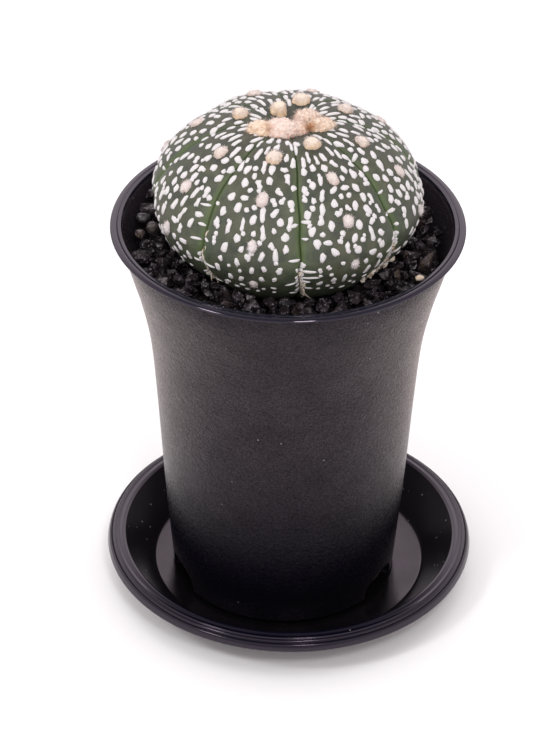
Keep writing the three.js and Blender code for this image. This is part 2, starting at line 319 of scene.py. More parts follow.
def finish_piece(name, shape, material, replaces=(), sharp=None, values=None):
    """Makes a bmesh in millimetres a piece of the object, in metres."""
    bmesh.ops.scale(shape, vec=(MM, MM, MM), verts=shape.verts)
    mesh = bpy.data.meshes.new(name)
    shape.to_mesh(mesh)
    shape.free()
    mesh.materials.append(material)
    mesh.polygons.foreach_set("use_smooth", [True] * len(mesh.polygons))
    if sharp is not None:
        mesh.set_sharp_from_angle(angle=math.radians(sharp))
    for key, numbers in (values or {}).items():
        mesh.attributes.new(key, "FLOAT", "POINT").data.foreach_set("value", numbers)
    piece = bpy.data.objects.new(name, mesh)
    bpy.context.scene.collection.objects.link(piece)
    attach(piece, "root")
    if replaces:
        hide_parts(*replaces)


def cut_away(shape, cutter):
    """Cuts a closed shape with another one and gives the result as a bmesh."""
    parts = []
    for label, part in (("cut_shape", shape), ("cut_tool", cutter)):
        item = bpy.data.objects.new(label, template(part, label))
        bpy.context.scene.collection.objects.link(item)
        parts.append(item)
    cut = parts[0].modifiers.new("cut", "BOOLEAN")
    cut.operation = "DIFFERENCE"
    cut.solver = "EXACT"
    cut.object = parts[1]
    result = bmesh.new()
    result.from_object(parts[0], bpy.context.evaluated_depsgraph_get())
    for item in parts:
        bpy.data.meshes.remove(item.data)
    return result


# Materials
class Finish:
    """A material whose shader is fed by procedural patterns on Object coordinates."""

    def __init__(self, name, **sockets):
        self.material = bpy.data.materials.new(name)
        self.material.use_nodes = True
        self.tree = self.material.node_tree
        self.shader = self.tree.nodes["Principled BSDF"]
        self.place = self.node("TexCoord").outputs["Object"]
        self.put(self.shader, sockets)

    def put(self, node, values):
        for key, value in values.items():
            socket = node.inputs[key] if isinstance(key, int) else node.inputs[key.replace("_", " ")]
            if isinstance(value, bpy.types.NodeSocket):
                self.tree.links.new(value, socket)
            else:
                socket.default_value = value

    def node(self, kind, inputs=None, **settings):
        node = self.tree.nodes.new("ShaderNode" + kind)
        for key, value in settings.items():
            setattr(node, key, value)
        self.put(node, inputs or {})
        return node

    def grain(self, size, detail, roughness=0.5):
        """Cloudy noise whose features are about size millimetres."""
        inputs = {
            "Vector": self.place, "Scale": 1 / (size * MM), "Detail": detail, "Roughness": roughness,
        }
        return self.node("TexNoise", inputs).outputs[0]

    def cells(self, size, feature="F1", output="Distance"):
        """Cell pattern whose cells are about size millimetres."""
        inputs = {"Vector": self.place, "Scale": 1 / (size * MM)}
        return self.node("TexVoronoi", inputs, feature=feature).outputs[output]

    def value(self, name):
        """A number stored on the piece's own points."""
        return self.node("Attribute", attribute_name=name).outputs["Fac"]

    def chance(self, size, channel):
        """A random number for each cell of a pattern of cells about size millimetres wide."""
        colour = self.cells(size, "F1", "Color")
        return self.node("SeparateColor", {0: colour}).outputs[channel]

    def upward(self):
        """How much the surface faces up, from -1 to 1."""
        normal = self.node("NewGeometry").outputs["Normal"]
        return self.node("SeparateXYZ", {0: normal}).outputs[2]

    def span(self, value, low, high, to_low=0.0, to_high=1.0):
        """Value moved from one range to another, and kept inside it."""
        inputs = {0: value, 1: low, 2: high, 3: to_low, 4: to_high}
        return self.node("MapRange", inputs).outputs[0]

    def math(self, operation, a, b=0.0):
        return self.node("Math", {0: a, 1: b}, operation=operation).outputs[0]

    def times(self, product, *factors):
        for factor in factors:
            product = self.math("MULTIPLY", product, factor)
        return product

    def mix(self, share, first, second):
        inputs = {0: share, 6: first, 7: second}
        return self.node("Mix", inputs, data_type="RGBA").outputs[2]

    def colour(self, base, *coats):
        """A base colour under coats, each with its share and its own colour."""
        for share, coat in coats:
            base = self.mix(share, base, coat)
        self.put(self.shader, {"Base Color": base})

    def roughness(self, socket):
        self.put(self.shader, {"Roughness": socket})

    def bumps(self, *layers):
        """Relief from (height pattern, depth in millimetres) layers."""
        normal = None
        for height, depth in layers:
            inputs = {"Height": height, "Distance": depth * MM, "Strength": 1.0}
            if normal is not None:
                inputs["Normal"] = normal
            normal = self.node("Bump", inputs).outputs[0]
        self.put(self.shader, {"Normal": normal})


def rgb(red, green, blue):
    return (red, green, blue, 1.0)


def dusty_plastic(name, grain_depth, shine, smooth, dull, lip_edge, bloom=0.0):
    """Black moulded plastic with a fine grain, faint stains and a few specks of dust.

    Shine and smooth are the ranges of its shine and roughness. Dull is the range of heights in
    millimetres over which it turns from dull to shiny. Its lip has no grain, and lip_edge is its
    lowest height, its roughness and its colour.
    Where the piece says shade it is dull, and where it says dusty it is greyer. Bloom is the
    weight of the warm dust that shows where the plastic turns away.
    """
    finish = Finish(name, IOR=1.5, Specular_Tint=rgb(0.97, 0.80, 0.97))
    shade = finish.value("shade")
    dusty = finish.value("dusty")
    stain = finish.grain(9.0, 4.0, 0.6)
    fine = finish.grain(0.36, 2.0, 0.65)
    height = finish.node("SeparateXYZ", {0: finish.place}).outputs[2]
    dull_low, dull_high = [edge * MM for edge in dull]
    lip_low, lip_roughness, lip_colour = lip_edge
    lip = finish.span(height, (lip_low - 0.15) * MM, (lip_low + 0.15) * MM)
    lip = finish.times(lip, finish.math("SUBTRACT", 1.0, shade))
    grained = finish.math("SUBTRACT", 1.0, lip)

    clean = rgb(0.0022, 0.0019, 0.0024)
    stained = rgb(0.0038, 0.0033, 0.0038)
    foot_colour = rgb(0.0026, 0.0026, 0.0052)
    specks = finish.span(finish.cells(6.5), 0.022, 0.036, 1.0, 0.0)
    crumbs = finish.times(
        finish.span(finish.cells(2.7), 0.06, 0.1, 1.0, 0.0),
        finish.span(height, (lip_low - 6) * MM, (lip_low - 4) * MM),
        grained,
        finish.span(stain, 0.42, 0.52),
    )
    dust = finish.math("MAXIMUM", specks, crumbs)
    finish.colour(
        clean,
        (finish.span(stain, 0.35, 0.7), stained),
        (finish.span(height, dull_low, dull_high, 0.7, 0.0), foot_colour),
        (lip, lip_colour),
        (shade, rgb(0.0085, 0.0072, 0.0098)),
        (dusty, rgb(0.026, 0.021, 0.026)),
        (dust, rgb(0.25, 0.24, 0.23)),
    )

    dull_spots = finish.times(
        finish.span(finish.cells(2.6), 0.1, 0.2, 1.0, 0.0),
        finish.span(stain, 0.5, 0.6),
    )
    shiny = finish.times(
        finish.span(fine, 0.36, 0.64, *shine),
        finish.span(height, dull_low, dull_high, 0.5, 1.0),
        finish.span(height, 82 * MM, 100 * MM, 1.0, 0.8),
        finish.span(stain, 0.35, 0.65, 0.85, 1.1),
        finish.span(dull_spots, 0.0, 1.0, 1.0, 0.72),
    )
    shiny = finish.span(lip, 0.0, 1.0, shiny, 0.5)
    shiny = finish.times(shiny, finish.span(shade, 0.0, 1.0, 1.0, 0.1))
    bare = finish.math("MAXIMUM", finish.math("SUBTRACT", grained, dusty), 0.0)
    warm_dust = finish.times(finish.span(height, dull_low, dull_high, 0.0, bloom), bare)
    finish.put(finish.shader, {
        "Specular IOR Level": shiny,
        "Sheen Weight": warm_dust,
        "Sheen Roughness": 0.35,
        "Sheen Tint": rgb(0.9, 0.52, 0.38),
    })
    rough = finish.span(finish.grain(2.2, 4.0, 0.65), 0.3, 0.7, *smooth)
    finish.roughness(finish.span(lip, 0.0, 1.0, rough, lip_roughness))
    finish.bumps(
        (finish.times(fine, grained), grain_depth),
        (finish.times(finish.cells(0.9, "SMOOTH_F1"), grained), grain_depth * 0.8),
    )
    return finish.material


def soil_finish():
    finish = Finish("moist_peat", Roughness=0.95)
    crumb = finish.grain(1.4, 6.0, 0.7)
    wet = rgb(0.006, 0.004, 0.0025)
    dry = rgb(0.022, 0.014, 0.009)
    finish.colour(wet, (finish.span(crumb, 0.35, 0.65), dry))
    finish.bumps((crumb, 0.9), (finish.cells(0.8), 0.4))
    return finish.material


def lava_finish():
    finish = Finish("lava_stone", IOR=1.5)
    tint = finish.value("tint")
    facet = finish.chance(1.5, 0)
    grit = finish.span(finish.grain(0.8, 3.0, 0.6), 0.38, 0.6)
    # Painted glints: a few tiny cells are painted bright, in place of light caught by the stone.
    painted_glint = finish.times(finish.span(finish.chance(0.34, 1), 0.84, 0.9), grit)
    black = rgb(0.0025, 0.002, 0.0026)
    grey = rgb(0.020, 0.0155, 0.0175)
    brown = rgb(0.060, 0.043, 0.033)
    light_grey = rgb(0.04, 0.041, 0.04)
    cream = rgb(0.62, 0.5, 0.38)
    finish.colour(
        black,
        (finish.span(tint, 0.0, 0.78), grey),
        (finish.span(tint, 0.8, 0.84), brown),
        (finish.span(tint, 0.93, 0.95), light_grey),
        (finish.span(tint, 0.97, 0.99), cream),
        # Painted light: lighter cells stand in for facets that catch the light.
        (finish.span(facet, 0.45, 0.95, 0.0, 0.75), rgb(0.045, 0.034, 0.038)),
        (painted_glint, rgb(0.19, 0.16, 0.19)),
    )
    finish.roughness(finish.span(facet, 0.0, 1.0, 0.5, 0.2))
    finish.put(finish.shader, {"Specular IOR Level": finish.span(facet, 0.3, 0.8, 0.05, 0.5)})
    finish.bumps((finish.grain(0.9, 3.0, 0.6), 0.2), (facet, 0.2))
    return finish.material


def skin_finish():
    finish = Finish("cactus_skin", IOR=1.38)
    groove = finish.value("groove")
    age = finish.value("age")
    mottle = finish.grain(3.0, 4.0, 0.6)
    blotch = finish.grain(7.0, 2.0, 0.5)
    fine = finish.grain(0.35, 3.0, 0.6)
    young = rgb(0.061, 0.055, 0.042)
    grown = rgb(0.073, 0.078, 0.049)
    old = rgb(0.099, 0.114, 0.065)
    bare = finish.times(finish.span(groove, 2.0, 6.5, 1.0, 0.0), finish.span(age, 0.3, 0.8), 0.75)
    edge = finish.times(finish.span(groove, 0.3, 1.7, 1.0, 0.0), finish.span(age, 0.14, 0.45), 0.6)
    # Painted shade: the bottom of each groove is darkened as if shaded by its crease.
    crease = finish.times(finish.span(groove, 0.08, 0.32, 1.0, 0.0), finish.span(age, 0.06, 0.25))
    finish.colour(
        young,
        (finish.span(age, 0.1, 0.55), grown),
        (finish.span(age, 0.75, 1.0), old),
        (bare, rgb(0.078, 0.108, 0.056)),
        (finish.span(mottle, 0.5, 0.68, 0.0, 0.6), rgb(0.105, 0.115, 0.078)),
        (finish.span(mottle, 0.34, 0.5, 0.6, 0.0), rgb(0.026, 0.034, 0.028)),
        (finish.span(blotch, 0.4, 0.6, 0.45, 0.0), rgb(0.036, 0.046, 0.040)),
        (finish.span(fine, 0.48, 0.75, 0.0, 0.4), rgb(0.13, 0.14, 0.105)),
        (edge, rgb(0.105, 0.16, 0.05)),
        (crease, rgb(0.022, 0.04, 0.008)),
    )
    finish.roughness(finish.span(mottle, 0.3, 0.7, 0.42, 0.6))
    finish.bumps((mottle, 0.12), (fine, 0.06))
    finish.put(finish.shader, {"Subsurface Weight": 0.06, "Subsurface Scale": 0.0012})
    return finish.material


def felt_finish():
    finish = Finish("white_felt", Roughness=0.95, IOR=1.3)
    tuft = finish.grain(0.28, 4.0, 0.7)
    # Painted shade: the felt is greyer between its tufts and lighter at their tips, following the noise of
    # its relief.
    between = rgb(0.60, 0.57, 0.565)
    tips = rgb(0.79, 0.775, 0.785)
    finish.colour(between, (finish.span(tuft, 0.3, 0.7), tips))
    finish.bumps((tuft, 0.16))
    return finish.material


def areole_finish():
    finish = Finish("areole_felt", Roughness=1.0, IOR=1.3)
    tuft = finish.grain(0.5, 5.0, 0.8)
    warm = finish.value("warm")
    worn = finish.value("worn")
    up = finish.upward()
    shadow = finish.mix(warm, rgb(0.60, 0.46, 0.41), rgb(0.84, 0.53, 0.28))
    shadow = finish.mix(worn, shadow, rgb(0.66, 0.57, 0.55))
    deep = finish.times(finish.span(tuft, 0.40, 0.57, 0.9, 0.0), finish.span(up, 0.2, 0.9, 1.0, 0.4))
    finish.colour(
        rgb(0.80, 0.69, 0.66),
        (warm, rgb(0.96, 0.75, 0.49)),
        (worn, rgb(0.86, 0.81, 0.81)),
        # Painted light: felt that faces up is whiter, as if lit from above.
        (finish.span(up, 0.2, 0.9, 0.0, 0.65), rgb(0.88, 0.81, 0.78)),
        (deep, shadow),
    )
    finish.bumps((tuft, 0.42))
    return finish.material


def wool_finish():
    finish = Finish("crown_wool", Roughness=1.0, IOR=1.3)
    tuft = finish.grain(0.5, 6.0, 0.75)
    warm = finish.value("warm")
    brown = finish.value("brown")
    up = finish.upward()
    shadow = finish.mix(warm, rgb(0.77, 0.34, 0.22), rgb(0.86, 0.50, 0.24))
    deep = finish.times(finish.span(tuft, 0.38, 0.57, 0.95, 0.0), finish.span(up, 0.2, 0.95, 1.0, 0.6))
    finish.colour(
        rgb(0.84, 0.74, 0.66),
        (warm, rgb(0.98, 0.83, 0.63)),
        # Painted light: wool that faces up is whiter, as if lit from above.
        (finish.span(up, 0.2, 0.9, 0.0, 0.45), rgb(0.90, 0.80, 0.73)),
        (deep, shadow),
        (brown, rgb(0.52, 0.24, 0.09)),
    )
    finish.bumps((tuft, 0.25), (finish.grain(0.16, 3.0, 0.7), 0.08))
    finish.put(finish.shader, {"Sheen Weight": 0.35, "Sheen Roughness": 0.6})
    return finish.material


def fibre_finish():
    finish = Finish("dried_fibre", Roughness=0.8, IOR=1.4)
    stain = finish.grain(1.2, 3.0, 0.6)
    finish.colour(
        rgb(0.82, 0.76, 0.66),
        (finish.value("warm"), rgb(0.34, 0.20, 0.09)),
        (finish.span(stain, 0.4, 0.7, 0.0, 0.5), rgb(0.42, 0.33, 0.2)),
    )
    finish.bumps((stain, 0.2))
    return finish.material


def floor_finish():
    finish = Finish("studio_floor", Roughness=0.9, IOR=1.3)
    finish.colour(rgb(0.94, 0.94, 0.94), (finish.grain(400.0, 2.0), rgb(0.96, 0.96, 0.96)))
    return finish.material


# Studio
def make_camera():
    camera = bpy.data.cameras.new("camera")
    camera.sensor_width = SENSOR
    camera.lens = FOCAL_PIXELS / IMAGE_HEIGHT * SENSOR
    camera.clip_start = 0.01
    holder = bpy.data.objects.new("camera", camera)
    bpy.context.scene.collection.objects.link(holder)
    tilt = math.radians(90 - CAMERA_ELEVATION)
    turn = Matrix.Rotation(tilt, 4, "X") @ Matrix.Rotation(math.radians(CAMERA_ROLL), 4, "Z")
    back = Matrix.Translation((0, 0, CAMERA_DISTANCE))
    holder.matrix_world = Matrix.Translation(CAMERA_TARGET) @ turn @ back
    bpy.context.scene.camera = holder


def make_softbox(name, place, size, radiance, mirrored=True):
    """A square light of a given brightness, aimed at the plant and mirrored in it or not."""
    light = bpy.data.lights.new(name, "AREA")
    light.shape = "SQUARE"
    light.size = size
    light.energy = radiance * math.pi * size ** 2
    holder = bpy.data.objects.new(name, light)
    bpy.context.scene.collection.objects.link(holder)
    aim = (Vector(SOFTBOX_TARGET) - Vector(place)).to_track_quat("-Z", "Y")
    holder.matrix_world = Matrix.Translation(place) @ aim.to_matrix().to_4x4()
    holder.visible_glossy = mirrored


def make_studio():
    scene = bpy.context.scene
    scene.view_settings.view_transform = "Standard"
    world = bpy.data.worlds.new("studio")
    world.use_nodes = True
    sky = world.node_tree
    way = sky.nodes.new("ShaderNodeTexCoord").outputs["Generated"]
    parts = sky.nodes.new("ShaderNodeSeparateXYZ")
    sky.links.new(way, parts.inputs[0])
    light = None
    for axis, *limits in SKY_FADES:
        span = sky.nodes.new("ShaderNodeMapRange")
        span.interpolation_type = "SMOOTHSTEP"
        sky.links.new(parts.outputs[axis], span.inputs[0])
        for place, number in enumerate(limits, 1):
            span.inputs[place].default_value = number
        share = sky.nodes.new("ShaderNodeMath")
        share.operation = "MULTIPLY"
        share.inputs[1].default_value = SKY_LEVEL
        sky.links.new(span.outputs[0], share.inputs[0])
        if light is not None:
            sky.links.new(light, share.inputs[1])
        light = share.outputs[0]
    tinted = sky.nodes.new("ShaderNodeVectorMath")
    tinted.operation = "MULTIPLY"
    tinted.inputs[1].default_value = SKY_TINT
    sky.links.new(light, tinted.inputs[0])
    sky.links.new(tinted.outputs[0], sky.nodes["Background"].inputs["Color"])
    scene.world = world
    make_softbox("left_softbox", (-0.70, -0.50, 1.0), 0.2, 25.0)
    make_softbox("front_softbox", (0.17, -0.82, 1.0), 0.2, 25.0)
    make_softbox("top_softbox", (0.0, 0.0, 1.4), 1.2, 1.6, mirrored=False)
    sheet = bmesh.new()
    bmesh.ops.create_grid(sheet, x_segments=2, y_segments=2, size=4.0)
    floor_mesh = template(sheet, "studio_floor")
    floor_mesh.materials.append(floor_finish())
    floor = bpy.data.objects.new("studio_floor", floor_mesh)
    scene.collection.objects.link(floor)


# Saucer
def make_saucer(material):
    wall_top = SAUCER_RADIUS - 4.8
    foot_inner = 30.2
    foot_outer = 35.9
    floor_radius = 35.8
    lip = [
        (2.2, 2.0, 0.6),
        (0.9, 3.3, 0.3),
        (0.3, 3.4, 0.2),
        (0.0, 2.9, 0.35),
        (0.55, 1.35, 0.25),
        (0.95, 1.15, 0.15),
        (1.2, 1.45, 0.1),
        (1.45, 0.7, 0.25),
        (1.85, 0.5, 0.12),
        (2.1, 0.62, 0.1),
        (2.35, 0.2, 0.2),
        (3.2, 0.42, 0.3),
        (4.0, 0.0, 0.3),
    ]
    corners = [
        (0, 0.8, 0),
        (foot_inner - 0.8, 0.8, 0.4),
        (foot_inner, 0, 0.3),
        (foot_outer, 0, 0.4),
        (foot_outer + 1, 0.6, 0.8),
        (wall_top + 0.3, SAUCER_TOP - 2.1, 0.8),
        *inset_from(SAUCER_RADIUS, SAUCER_TOP, lip),
        (wall_top + 0.1, SAUCER_TOP - 0.15, 0.3),
        (floor_radius + 0.3, SAUCER_FLOOR + 0.4, 0.5),
        (floor_radius - 0.3, SAUCER_FLOOR, 0.3),
        (foot_inner, SAUCER_FLOOR, 0),
        (0, SAUCER_FLOOR, 0),
    ]
    shape = turned(corners, SAUCER_STEPS)
    slope = (SAUCER_TOP - SAUCER_FLOOR) / (wall_top - floor_radius)
    shade = []
    for vert in shape.verts:
        reach = math.hypot(vert.co.x, vert.co.y)
        inside = vert.co.z > SAUCER_FLOOR - 1.2 + slope * (reach - floor_radius)
        on_wall = SAUCER_FLOOR + 0.15 < vert.co.z < SAUCER_TOP - 0.3
        shade.append(float(inside and on_wall and reach < wall_top + 0.3))
    finish_piece(
        "saucer_dish", shape, material, ["saucer"], sharp=50, values={"shade": shade},
    )


# Pot
def pot_inner_radius(height):
    for (low_radius, low), (high_radius, high) in zip(POT_FLARE, POT_FLARE[1:]):
        if height <= high:
            return low_radius + (high_radius - low_radius) * (height - low) / (high - low) - POT_WALL
    return POT_FLARE[-1][0] - POT_WALL


def pressed_share(point):
    """How far out a point lies at the front of the pressed pot, as a share of the round one."""
    share = clamped((point.z - PRESSED_FROM) / (POT_RIM - PRESSED_FROM))
    return 1 - PRESSED_SHARE * share * (point.y < 0)


def pressed(point):
    """The thin pot is pressed in a little at the front, most at its rim."""
    return Vector((point.x, point.y * pressed_share(point), point.z))


def pressed_back(point):
    """The place that a point of the pressed pot had in the round one."""
    return Vector((point.x, point.y / pressed_share(point), point.z))


def make_pot(material):
    floor_under = POT_FOOT + 1.2
    floor_top = floor_under + 1.5
    inside = [(POT_FOOT_RADIUS + 0.3 - POT_WALL, floor_top)]
    inside += [(radius - POT_WALL, height) for radius, height in POT_FLARE[1:-1]]
    inside += [(POT_FLARE[-1][0] - POT_THIN_WALL, POT_FLARE[-1][1])]
    rim = [
        (2.5, 1.0, 0.15),
        (0.0, 0.78, 0.3),
        (0.0, 0.48, 0.15),
        (0.32, 0.13, 0.22),
        (0.95, 0.0, 0.3),
        (1.52, 0.0, 0.1),
        (1.88, 0.3, 0.08),
        (1.95, 0.0, 0.12),
        (2.8, 0.08, 0.12),
    ]
    corners = [
        (0, floor_under, 0),
        (ARCH_INNER, floor_under, 0.4),
        (ARCH_INNER + 0.8, POT_FOOT, 0.3),
        (POT_FOOT_RADIUS - 0.9, POT_FOOT, 0.5),
        *flowing(POT_FLARE),
        *inset_from(POT_RIM_RADIUS, POT_RIM, rim),
        *reversed(flowing(inside)),
        (0, floor_top, 0),
    ]
    shell = turned(corners, POT_STEPS, POT_X)
    for vert in shell.verts:
        vert.co = pressed(vert.co)
    arches = bmesh.new()
    for azimuth in ARCH_AZIMUTHS:
        add_arch(arches, azimuth)
    shell = cut_away(shell, arches)
    dust_depth = 0.25
    dusty = []
    for vert in shell.verts:
        reach = math.hypot(vert.co.x - POT_X, pressed_back(vert.co).y)
        within = pot_inner_radius(vert.co.z) + POT_WALL - POT_THIN_WALL / 2 - reach
        dusty.append(clamped(min(within / dust_depth, POT_RIM - 0.4 - vert.co.z)))
    finish_piece(
        "pot_shell", shell, material, ["pot"], sharp=40, values={"dusty": dusty},
    )


def add_arch(shape, azimuth):
    """Upright round-topped slot through the foot of the wall."""
    half = ARCH_WIDTH / 2
    shoulder = ARCH_HEIGHT * ARCH_SHOULDER
    outline = [(-half, -1.0), (half, -1.0)]
    for turn in range(ARCH_STEPS + 1):
        angle = math.pi * turn / ARCH_STEPS
        rise = (ARCH_HEIGHT - shoulder) * math.sin(angle)
        outline.append((half * math.cos(angle), shoulder + rise))
    verts = [shape.verts.new((x, -ARCH_INNER, POT_FOOT + z)) for x, z in outline]
    face = shape.faces.new(verts)
    grown = bmesh.ops.extrude_face_region(shape, geom=[face])["geom"]
    moved = [item for item in grown if isinstance(item, bmesh.types.BMVert)]
    bmesh.ops.translate(shape, vec=(0, ARCH_INNER - POT_FOOT_RADIUS - 4, 0), verts=moved)
    whole = verts + moved
    faces = list({face for vert in whole for face in vert.link_faces})
    bmesh.ops.recalc_face_normals(shape, faces=faces)
    around = Matrix.Rotation(math.radians(azimuth), 3, "Z")
    bmesh.ops.rotate(shape, cent=(0, 0, 0), matrix=around, verts=whole)
    bmesh.ops.translate(shape, vec=(POT_X, 0, 0), verts=whole)


# Cactus skin as a formula: rib number, across it from -1 to 1 at its grooves, and fall in radians
# from the crown (0) to the base
def rib_azimuth(rib, across):
    start = GROOVES[rib]
    end = GROOVES[rib + 1] if rib + 1 < RIBS else GROOVES[0] + 360
    return (start + end) / 2 + across * (end - start) / 2


def groove_waver(rib, across, fall):
    """Degrees by which a groove wanders from its straight line."""
    groove = rib if across < 0 else (rib + 1) % RIBS
    return 1.5 * abs(across) ** 5 * noise.noise(Vector((5.3 * groove, 2.6 * fall, 0)))


def crease_share(across):
    """Depth of the skin under the crest as a share, with a sharp crease at the groove."""
    fold = abs(across)
    return 0.125 * (1 - math.cos(math.pi * across)) + 0.45 * fold ** 10 + 0.3 * fold ** 70


def skin_point(rib, across, fall, lift=0.0):
    """Place of a point of the skin, or of one that is lifted off it."""
    azimuth = math.radians(rib_azimuth(rib, across) + groove_waver(rib, across, fall))
    sine = max(math.sin(fall), 0.0)
    cosine = math.cos(fall)
    height = BODY_RISE if cosine > 0 else BODY_DROP
    slope = Vector((sine / BODY_RADIUS, cosine / height)).normalized()
    sunk = GROOVE_DEPTH * sine ** (1.5 if cosine > 0 else 0.7) * crease_share(across) - lift
    sunk -= 0.3 * sine * noise.noise(Vector((2.2 * rib + across, 3.0 * fall, 7.0)))
    radius = max(BODY_RADIUS * sine ** BODY_POWER - sunk * slope.x, 0.0)
    rise = height * math.copysign(abs(cosine) ** BODY_POWER, cosine)
    up = rise - sunk * slope.y
    dip = CROWN_DIMPLE * math.exp(-((radius / CROWN_DIMPLE_RADIUS) ** 2)) if cosine > 0 else 0.0
    drift = (1 - sine) ** 1.5 if cosine > 0 else 0.0
    return Vector((
        BODY_X + CROWN_DRIFT[0] * drift + radius * math.sin(azimuth),
        BODY_Y + CROWN_DRIFT[1] * drift + BODY_LEAN * up / BODY_RISE - radius * math.cos(azimuth),
        BODY_EQUATOR + up - dip,
    ))


def root_point(rib, across, share):
    """Skin below the body: the neck narrows into a tap root that is sunk in the soil."""
    azimuth = math.radians(rib_azimuth(rib, across))
    start = skin_point(rib, across, BASE_FALL)
    radius = ROOT_RADIUS + NECK_SPREAD * (1 - share) ** 6 if share < 1 else 0.0
    return Vector((
        BODY_X + radius * math.sin(azimuth),
        BODY_Y - radius * math.cos(azimuth),
        start.z + (ROOT_TIP - start.z) * share,
    ))


def crest_table():
    """Length of skin walked down a crest at each small step of fall."""
    step = 0.01
    walked = [0.0]
    here = skin_point(0, 0, 0)
    for i in range(1, int(BASE_FALL / step)):
        there = skin_point(0, 0, i * step)
        walked.append(walked[-1] + (there - here).length)
        here = there
    return step, walked


CREST_STEP, CREST_WALKED = crest_table()


def fall_at(arc):
    for i, walked in enumerate(CREST_WALKED):
        if walked >= arc:
            before = CREST_WALKED[i - 1] if i else 0.0
            return CREST_STEP * (i - 1 + (arc - before) / max(walked - before, 1e-6)) if i else 0.0
    return CREST_STEP * (len(CREST_WALKED) - 1)


def half_width(rib, fall):
    """Millimetres of skin from a rib's crest to its groove."""
    angle = math.radians(rib_azimuth(rib, 1) - rib_azimuth(rib, 0))
    return BODY_RADIUS * max(math.sin(fall), 0.05) ** BODY_POWER * angle


def on_skin(rib, sideways, arc, turn=0.0):
    """A function that moves points of a small shape, long side down the rib, on to the skin."""
    fall = fall_at(arc)
    width = half_width(rib, fall)
    stretch = (skin_point(rib, 0, fall + 0.01) - skin_point(rib, 0, fall - 0.01)).length / 0.02
    cosine, sine = math.cos(turn), math.sin(turn)

    def place(point):
        down = point.x * cosine - point.y * sine
        side = point.x * sine + point.y * cosine
        across = clamped((sideways + side) / width, -1.0)
        return skin_point(rib, across, fall + down / stretch, point.z)

    return place


def make_skin(material):
    columns = 24
    rows = 170
    seam = 1e-4
    grown_fall = 2.1
    shape = bmesh.new()
    bmesh.ops.create_uvsphere(shape, u_segments=RIBS * columns, v_segments=rows, radius=1)
    grooves = []
    ages = []
    for vert in shape.verts:
        turn = math.atan2(vert.co.x, -vert.co.y) % (2 * math.pi)
        ribs = turn / (2 * math.pi) * RIBS
        number = int(ribs + seam)
        side = clamped(2 * (ribs - number) - 1, -1.0)
        rib = number % RIBS
        across = math.copysign(1 - (1 - abs(side)) ** 1.6, side)
        share = math.acos(clamped(vert.co.z, -1.0)) / math.pi
        fall = min(share / (1 - ROOT_SHARE), 1.0) * BASE_FALL
        if share <= 1 - ROOT_SHARE:
            vert.co = skin_point(rib, across, fall)
        else:
            vert.co = root_point(rib, across, (share - 1 + ROOT_SHARE) / ROOT_SHARE)
        grooves.append((1 - abs(across)) * half_width(rib, fall))
        ages.append(min(fall / grown_fall, 1.2))
    face_outwards(shape)
    finish_piece(
        "cactus_skin", shape, material, ["cactus_body"],
        values={"groove": grooves, "age": ages},
    )


# Flecks and areoles
def areole_places():
    """Rib and length of skin from the crown of each areole."""
    places = []
    for rib in range(RIBS):
        arc = AREOLE_FIRST[rib]
        while arc < AREOLE_LAST:
            places.append((rib, arc))
            arc += AREOLE_STEPS[rib]
    return places


def fleck_size(arc, draw):
    """Full length down the rib, full width and turn of a fleck, by its distance from the crown."""
    tilt = draw.gauss(0, 0.26)
    if arc < LONG_FLECKS_TO:
        return draw.uniform(2.6, 4.6), draw.uniform(1.2, 1.55), tilt * 0.5
    if arc > CRUMBS_FROM:
        return draw.uniform(0.8, 1.3), draw.uniform(1.1, 1.8), tilt
    shrink = 1.0 if arc < 43 else 0.8
    kind = draw.random()
    if kind < 0.22:
        return shrink * draw.uniform(3.1, 4.5), draw.uniform(1.5, 1.8), tilt * 0.6
    if kind < 0.28:
        return draw.uniform(1.4, 1.6), draw.uniform(2.2, 2.9), tilt
    if kind < 0.38:
        return shrink * draw.uniform(1.4, 1.9), shrink * draw.uniform(1.3, 1.6), tilt
    return shrink * draw.uniform(2.2, 3.1), shrink * draw.uniform(1.65, 2.05), tilt


def apart(side, arc, wide, tall, others):
    """Whether an oval lies clear of others, each with its side, arc and half sizes."""
    return all(
        ((side - s) / (wide + w)) ** 2 + ((arc - a) / (tall + t)) ** 2 > 1
        for s, a, w, t in others
    )


def fleck_places(draw):
    """Evenly scattered flecks on each rib, clear of its areoles and of its bare groove strips."""
    most_misses = 1100
    flecks = []
    for rib in range(RIBS):
        pad_side = AREOLE_SIDES[rib]
        pads = [(pad_side, arc, *AREOLE_ROOM) for other, arc in areole_places() if other == rib]
        taken = []
        misses = 0
        while misses < most_misses:
            arc = draw.uniform(FLECKS_FROM, CREST_LENGTH - 2.5)
            bare_strip = 0.25 if arc < 13 else 0.75 + 3.9 * clamped((arc - 24) / 20)
            gap = 0.14 if arc < 20 else 0.24
            thin_out = 0.35 * clamped((arc - 38) / 8)
            reach = half_width(rib, fall_at(arc)) - bare_strip
            if reach <= 0.2:
                misses += 1
                continue
            side = draw.uniform(-reach, reach)
            length, width, turn = fleck_size(arc, draw)
            wide = 0.5 * width + gap + thin_out
            tall = 0.5 * length + gap * 0.7 + thin_out
            if not apart(side, arc, wide, tall, pads + taken):
                misses += 1
                continue
            misses = 0
            taken.append((side, arc, wide, tall))
            flecks.append((rib, side, arc, length, width, turn))
            if 20 < arc < 52 and draw.random() < 0.3:
                beside = side + draw.choice((-1, 1)) * draw.uniform(0.1, 0.5) * width
                below = arc + draw.choice((-1, 1)) * draw.uniform(0.35, 0.6) * length
                lump = draw.uniform(0.9, 1.5)
                flecks.append((rib, clamped(beside, -reach, reach), below, lump * 1.1, lump, turn))
    return flecks


